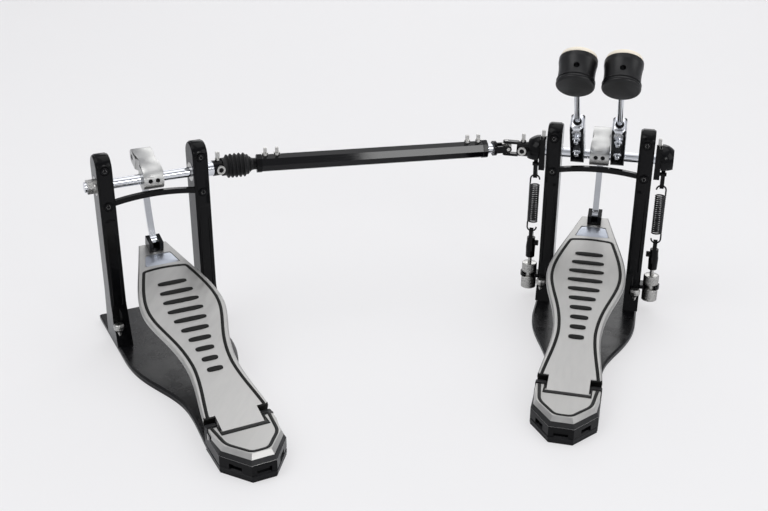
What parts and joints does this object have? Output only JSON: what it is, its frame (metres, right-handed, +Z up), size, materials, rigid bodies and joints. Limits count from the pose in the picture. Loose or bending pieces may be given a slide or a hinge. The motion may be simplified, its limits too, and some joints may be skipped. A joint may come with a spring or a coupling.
{
  "type": "double bass drum pedal",
  "caption": "Double bass drum pedal: a main pedal with beaters and return springs, a second pedal, and a jointed drive link between them.",
  "frame": {"origin": "on the floor under the middle of the main pedal's axle", "axes": "+X along the main axle to the player's right, +Y towards the drum, +Z up"},
  "size_m": [0.6726, 0.5486, 0.3579],
  "materials": {
    "black_coat": "gloss",
    "base_coat": "satin",
    "soft_black": "matte",
    "satin_metal": "satin",
    "bright_metal": "polished",
    "screw_metal": "brushed",
    "spring_coat": "satin",
    "head_plastic": "satin",
    "felt": "felt"
  },
  "bodies": {
    "main_frame": {"main_base_plate": "base_coat", "main_base_mat": "soft_black", "main_posts": "black_coat", "main_tie_bar": "black_coat", "main_heel_block": "black_coat", "main_heel_plate": "satin_metal", "main_bearings": "screw_metal", "main_frame_fasteners": "screw_metal", "tension_brackets": "black_coat"},
    "main_footboard": {"main_footboard": "satin_metal", "main_toe_clevis": "black_coat"},
    "main_strap": {"main_strap": "bright_metal"},
    "main_axle": {"main_axle": "bright_metal", "main_cam": "satin_metal", "main_axle_screws": "screw_metal", "right_holder": "black_coat", "right_rocker": "black_coat"},
    "left_axle": {"left_axle": "bright_metal", "left_holder": "black_coat", "left_rocker": "black_coat", "left_drive_hub": "black_coat", "left_axle_screws": "screw_metal"},
    "hoop_jaw": {"hoop_jaw": "black_coat"},
    "hoop_screw": {"hoop_screw": "screw_metal"},
    "link_rod": {"link_rod": "black_coat"},
    "main_cross": {"main_cross": "screw_metal"},
    "second_frame": {"second_base_plate": "base_coat", "second_base_mat": "soft_black", "second_posts": "black_coat", "second_tie_bar": "black_coat", "second_heel_block": "black_coat", "second_heel_plate": "satin_metal", "second_bearings": "screw_metal", "second_frame_fasteners": "screw_metal"},
    "link_tube": {"link_tube": "black_coat", "link_fork": "black_coat", "link_screws": "screw_metal", "link_boot": "soft_black"},
    "second_cross": {"second_cross": "screw_metal"},
    "second_axle": {"second_axle": "bright_metal", "second_cam": "satin_metal", "second_axle_screws": "screw_metal", "second_drive_hub": "black_coat"},
    "second_footboard": {"second_footboard": "satin_metal", "second_toe_clevis": "black_coat"},
    "second_strap": {"second_strap": "bright_metal"},
    "right_beater": {"right_beater_rod": "bright_metal", "right_beater_head": "head_plastic", "right_beater_felt": "felt"},
    "right_hanger": {"right_hanger": "black_coat"},
    "right_spring": {"right_spring": "spring_coat"},
    "right_hook_rod": {"right_hook_rod": "black_coat"},
    "right_tension_nut": {"right_tension_nut": "screw_metal"},
    "left_beater": {"left_beater_rod": "bright_metal", "left_beater_head": "head_plastic", "left_beater_felt": "felt"},
    "left_hanger": {"left_hanger": "black_coat"},
    "left_spring": {"left_spring": "spring_coat"},
    "left_hook_rod": {"left_hook_rod": "black_coat"},
    "left_tension_nut": {"left_tension_nut": "screw_metal"}
  },
  "joints": [
    {"name": "right_beater_swing", "type": "hinge", "parent": "main_frame", "child": "main_axle", "pos_m": [0, 0, 0.2], "axis": [1, 0, 0], "range_deg": [-45, 0], "stiffness_Nm_per_rad": 1.2, "springref_deg": 28.65},
    {"name": "left_beater_swing", "type": "hinge", "parent": "main_frame", "child": "left_axle", "pos_m": [0, 0, 0.2], "axis": [1, 0, 0], "range_deg": [-45, 0], "stiffness_Nm_per_rad": 1.2, "springref_deg": 28.65},
    {"name": "main_board_press", "type": "hinge", "parent": "main_frame", "child": "main_footboard", "pos_m": [0, -0.272, 0.0205], "axis": [1, 0, 0], "range_deg": [-7, 0.2]},
    {"name": "main_strap_swing", "type": "hinge", "parent": "main_footboard", "child": "main_strap", "pos_m": [0, 0.018, 0.11605], "axis": [1, 0, 0], "range_deg": [-1, 16]},
    {"name": "second_pedal_distance", "type": "slide", "parent": "main_frame", "child": "second_frame", "axis": [-0.8936, -0.4489, 0], "range_m": [0, 0.08]},
    {"name": "link_rod_turn", "type": "hinge", "parent": "main_frame", "child": "link_rod", "pos_m": [-0.115, 0, 0.2], "axis": [0.8936, 0.4489, 0], "range_deg": [-44, 0.5]},
    {"name": "main_cross_tilt", "type": "hinge", "parent": "link_rod", "child": "main_cross", "pos_m": [-0.115, 0, 0.2], "axis": [-0.4489, 0.8936, 0], "range_deg": [-0.5, 20]},
    {"name": "link_tube_turn", "type": "hinge", "parent": "second_frame", "child": "link_tube", "pos_m": [-0.41547, -0.15094, 0.2], "axis": [0.8936, 0.4489, 0], "range_deg": [-44, 0.5]},
    {"name": "second_cross_tilt", "type": "hinge", "parent": "link_tube", "child": "second_cross", "pos_m": [-0.41547, -0.15094, 0.2], "axis": [-0.4489, 0.8936, 0], "range_deg": [-12, 0.5]},
    {"name": "second_axle_turn", "type": "hinge", "parent": "second_frame", "child": "second_axle", "pos_m": [-0.491, -0.218, 0.2], "axis": [0.7478, 0.6639, 0], "range_deg": [-45, 0.5]},
    {"name": "second_board_press", "type": "hinge", "parent": "second_frame", "child": "second_footboard", "pos_m": [-0.31041, -0.4214, 0.0205], "axis": [0.7478, 0.6639, 0], "range_deg": [-7, 0.2]},
    {"name": "second_strap_swing", "type": "hinge", "parent": "second_footboard", "child": "second_strap", "pos_m": [-0.50295, -0.20454, 0.11605], "axis": [0.7478, 0.6639, 0], "range_deg": [-1, 16]},
    {"name": "right_hanger_swing", "type": "hinge", "parent": "main_axle", "child": "right_hanger", "pos_m": [0.077, 0, 0.182], "axis": [1, 0, 0], "range_deg": [-1, 56]},
    {"name": "right_spring_stretch", "type": "slide", "parent": "right_hook_rod", "child": "right_spring", "axis": [0, -0.88, 0.475], "range_m": [-0.0005, 0.0135], "deforming": ["right_spring"]},
    {"name": "right_tension_turn", "type": "hinge", "parent": "main_frame", "child": "right_tension_nut", "pos_m": [0.077, 0, 0.031], "axis": [0, 0, 1], "range_deg": [-722, 722]},
    {"name": "right_hook_travel", "type": "slide", "parent": "main_frame", "child": "right_hook_rod", "axis": [0, 0, 1], "range_m": [-0.0016, 0.0016], "deforming": ["right_spring"]},
    {"name": "right_beater_height", "type": "slide", "parent": "main_axle", "child": "right_beater", "axis": [0, -0.7071, 0.7071], "range_m": [-0.012, 0.025]},
    {"name": "left_hanger_swing", "type": "hinge", "parent": "left_axle", "child": "left_hanger", "pos_m": [-0.077, 0, 0.182], "axis": [1, 0, 0], "range_deg": [-1, 56]},
    {"name": "left_spring_stretch", "type": "slide", "parent": "left_hook_rod", "child": "left_spring", "axis": [0, -0.88, 0.475], "range_m": [-0.0005, 0.0135], "deforming": ["left_spring"]},
    {"name": "left_tension_turn", "type": "hinge", "parent": "main_frame", "child": "left_tension_nut", "pos_m": [-0.077, 0, 0.031], "axis": [0, 0, 1], "range_deg": [-722, 722]},
    {"name": "left_hook_travel", "type": "slide", "parent": "main_frame", "child": "left_hook_rod", "axis": [0, 0, 1], "range_m": [-0.0016, 0.0016], "deforming": ["left_spring"]},
    {"name": "left_beater_height", "type": "slide", "parent": "left_axle", "child": "left_beater", "axis": [0, -0.7071, 0.7071], "range_m": [-0.012, 0.025]},
    {"name": "hoop_screw_turn", "type": "hinge", "parent": "main_frame", "child": "hoop_screw", "pos_m": [0, 0.04, 0.03], "axis": [0, 0, 1], "range_deg": [-1443, 1443]},
    {"name": "hoop_jaw_travel", "type": "slide", "parent": "main_frame", "child": "hoop_jaw", "axis": [0, 0, 1], "range_m": [-0.005, 0.005]}
  ],
  "couplings": [
    {"joint": "main_board_press", "follows": "right_beater_swing", "ratio": 0.1375},
    {"joint": "main_strap_swing", "follows": "right_beater_swing", "ratio": -0.225},
    {"joint": "link_rod_turn", "follows": "left_beater_swing", "ratio": 0.92852},
    {"joint": "main_cross_tilt", "follows": "left_beater_swing", "ratio": -0.41126},
    {"joint": "link_tube_turn", "follows": "left_beater_swing", "ratio": 0.92852},
    {"joint": "second_cross_tilt", "follows": "left_beater_swing", "ratio": 0.22383},
    {"joint": "second_axle_turn", "follows": "left_beater_swing", "ratio": 0.95028},
    {"joint": "second_board_press", "follows": "left_beater_swing", "ratio": 0.13066},
    {"joint": "second_strap_swing", "follows": "left_beater_swing", "ratio": -0.21381},
    {"joint": "right_hanger_swing", "follows": "right_beater_swing", "ratio": -1.1755},
    {"joint": "right_spring_stretch", "follows": "right_beater_swing", "m_per_rad": -0.01547},
    {"joint": "right_tension_turn", "follows": "right_hook_travel", "rad_per_m": -7854},
    {"joint": "left_hanger_swing", "follows": "left_beater_swing", "ratio": -1.1755},
    {"joint": "left_spring_stretch", "follows": "left_beater_swing", "m_per_rad": -0.01547},
    {"joint": "left_tension_turn", "follows": "left_hook_travel", "rad_per_m": -7854},
    {"joint": "hoop_screw_turn", "follows": "hoop_jaw_travel", "rad_per_m": -5026.5}
  ]
}
